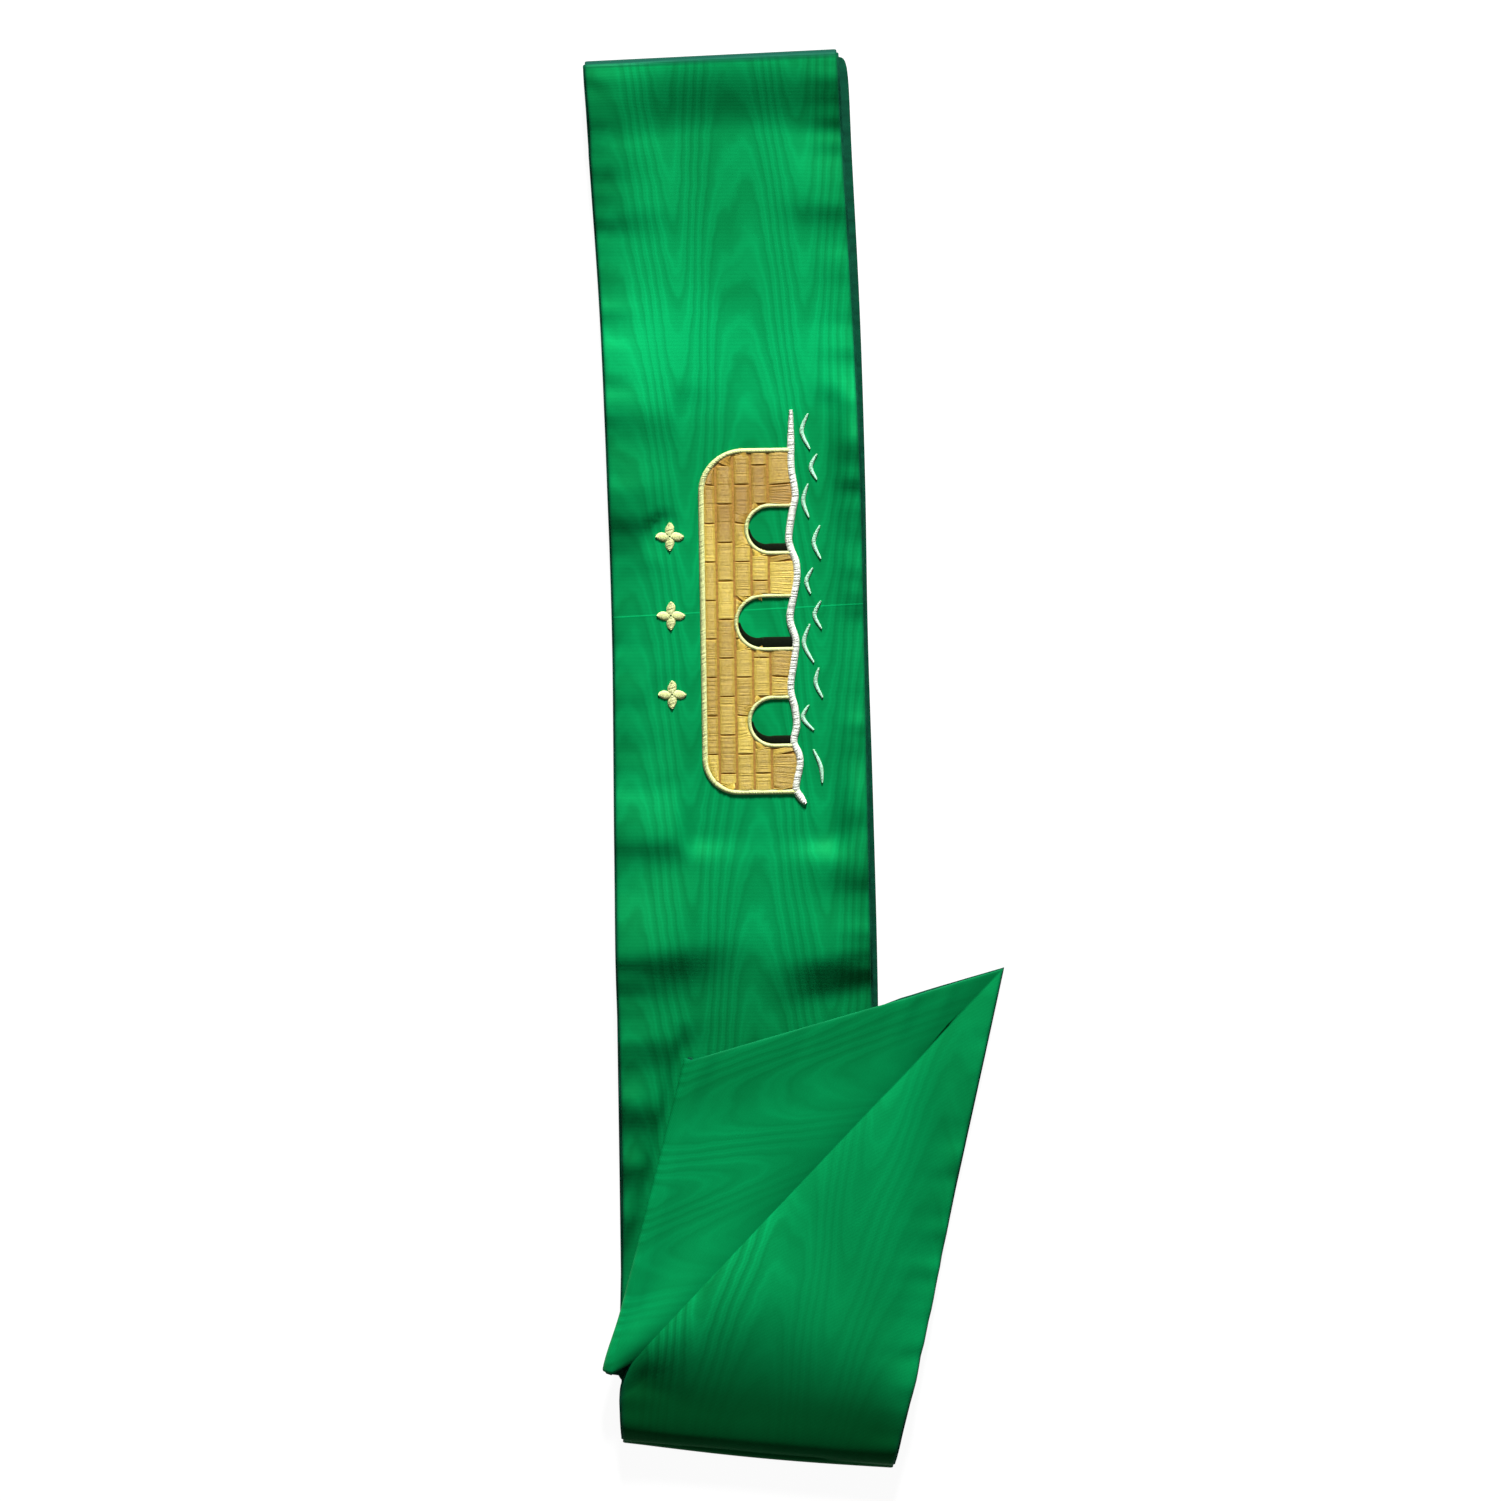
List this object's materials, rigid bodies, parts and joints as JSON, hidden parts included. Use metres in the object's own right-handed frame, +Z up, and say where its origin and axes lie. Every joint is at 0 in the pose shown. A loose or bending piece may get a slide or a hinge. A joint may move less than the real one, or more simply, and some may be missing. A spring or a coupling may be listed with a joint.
{
  "type": "sash of an order",
  "caption": "Broad green watered silk sash with a dark lining, folded flat with its mitred tip turned over and an embroidered arched bridge on the front",
  "frame": {"origin": "in the middle of the ground that the lying sash covers, at the height of its underside", "axes": "+Y runs along the sash to its shoulder fold, +X to the side that its tip points to, +Z up out of the embroidered face"},
  "size_m": [0.1698, 0.5694, 0.0149],
  "materials": {
    "watered_silk": "ribbed watered silk with a soft sheen",
    "lining_cloth": "plain matt weave",
    "gold_thread": "satin stitched thread",
    "pale_gold_cord": "laid silk cord",
    "black_satin": "satin stitched thread",
    "white_thread": "padded satin stitch",
    "wave_thread": "satin stitched thread"
  },
  "bodies": {
    "root": {"moire_ribbon": "watered_silk", "lining": "lining_cloth", "bridge_masonry": "gold_thread", "bridge_outline_cord": "pale_gold_cord", "arch_cord_1": "pale_gold_cord", "arch_cord_2": "pale_gold_cord", "arch_cord_3": "pale_gold_cord", "arch_shadow_1": "black_satin", "arch_shadow_2": "black_satin", "arch_shadow_3": "black_satin", "water_cord": "white_thread", "wave_stitch_01": "wave_thread", "wave_stitch_02": "wave_thread", "wave_stitch_03": "wave_thread", "wave_stitch_04": "wave_thread", "wave_stitch_05": "wave_thread", "wave_stitch_06": "wave_thread", "wave_stitch_07": "wave_thread", "wave_stitch_08": "wave_thread", "wave_stitch_09": "wave_thread", "wave_stitch_10": "wave_thread", "motif_1": "pale_gold_cord", "motif_2": "pale_gold_cord", "motif_3": "pale_gold_cord"}
  },
  "joints": []
}
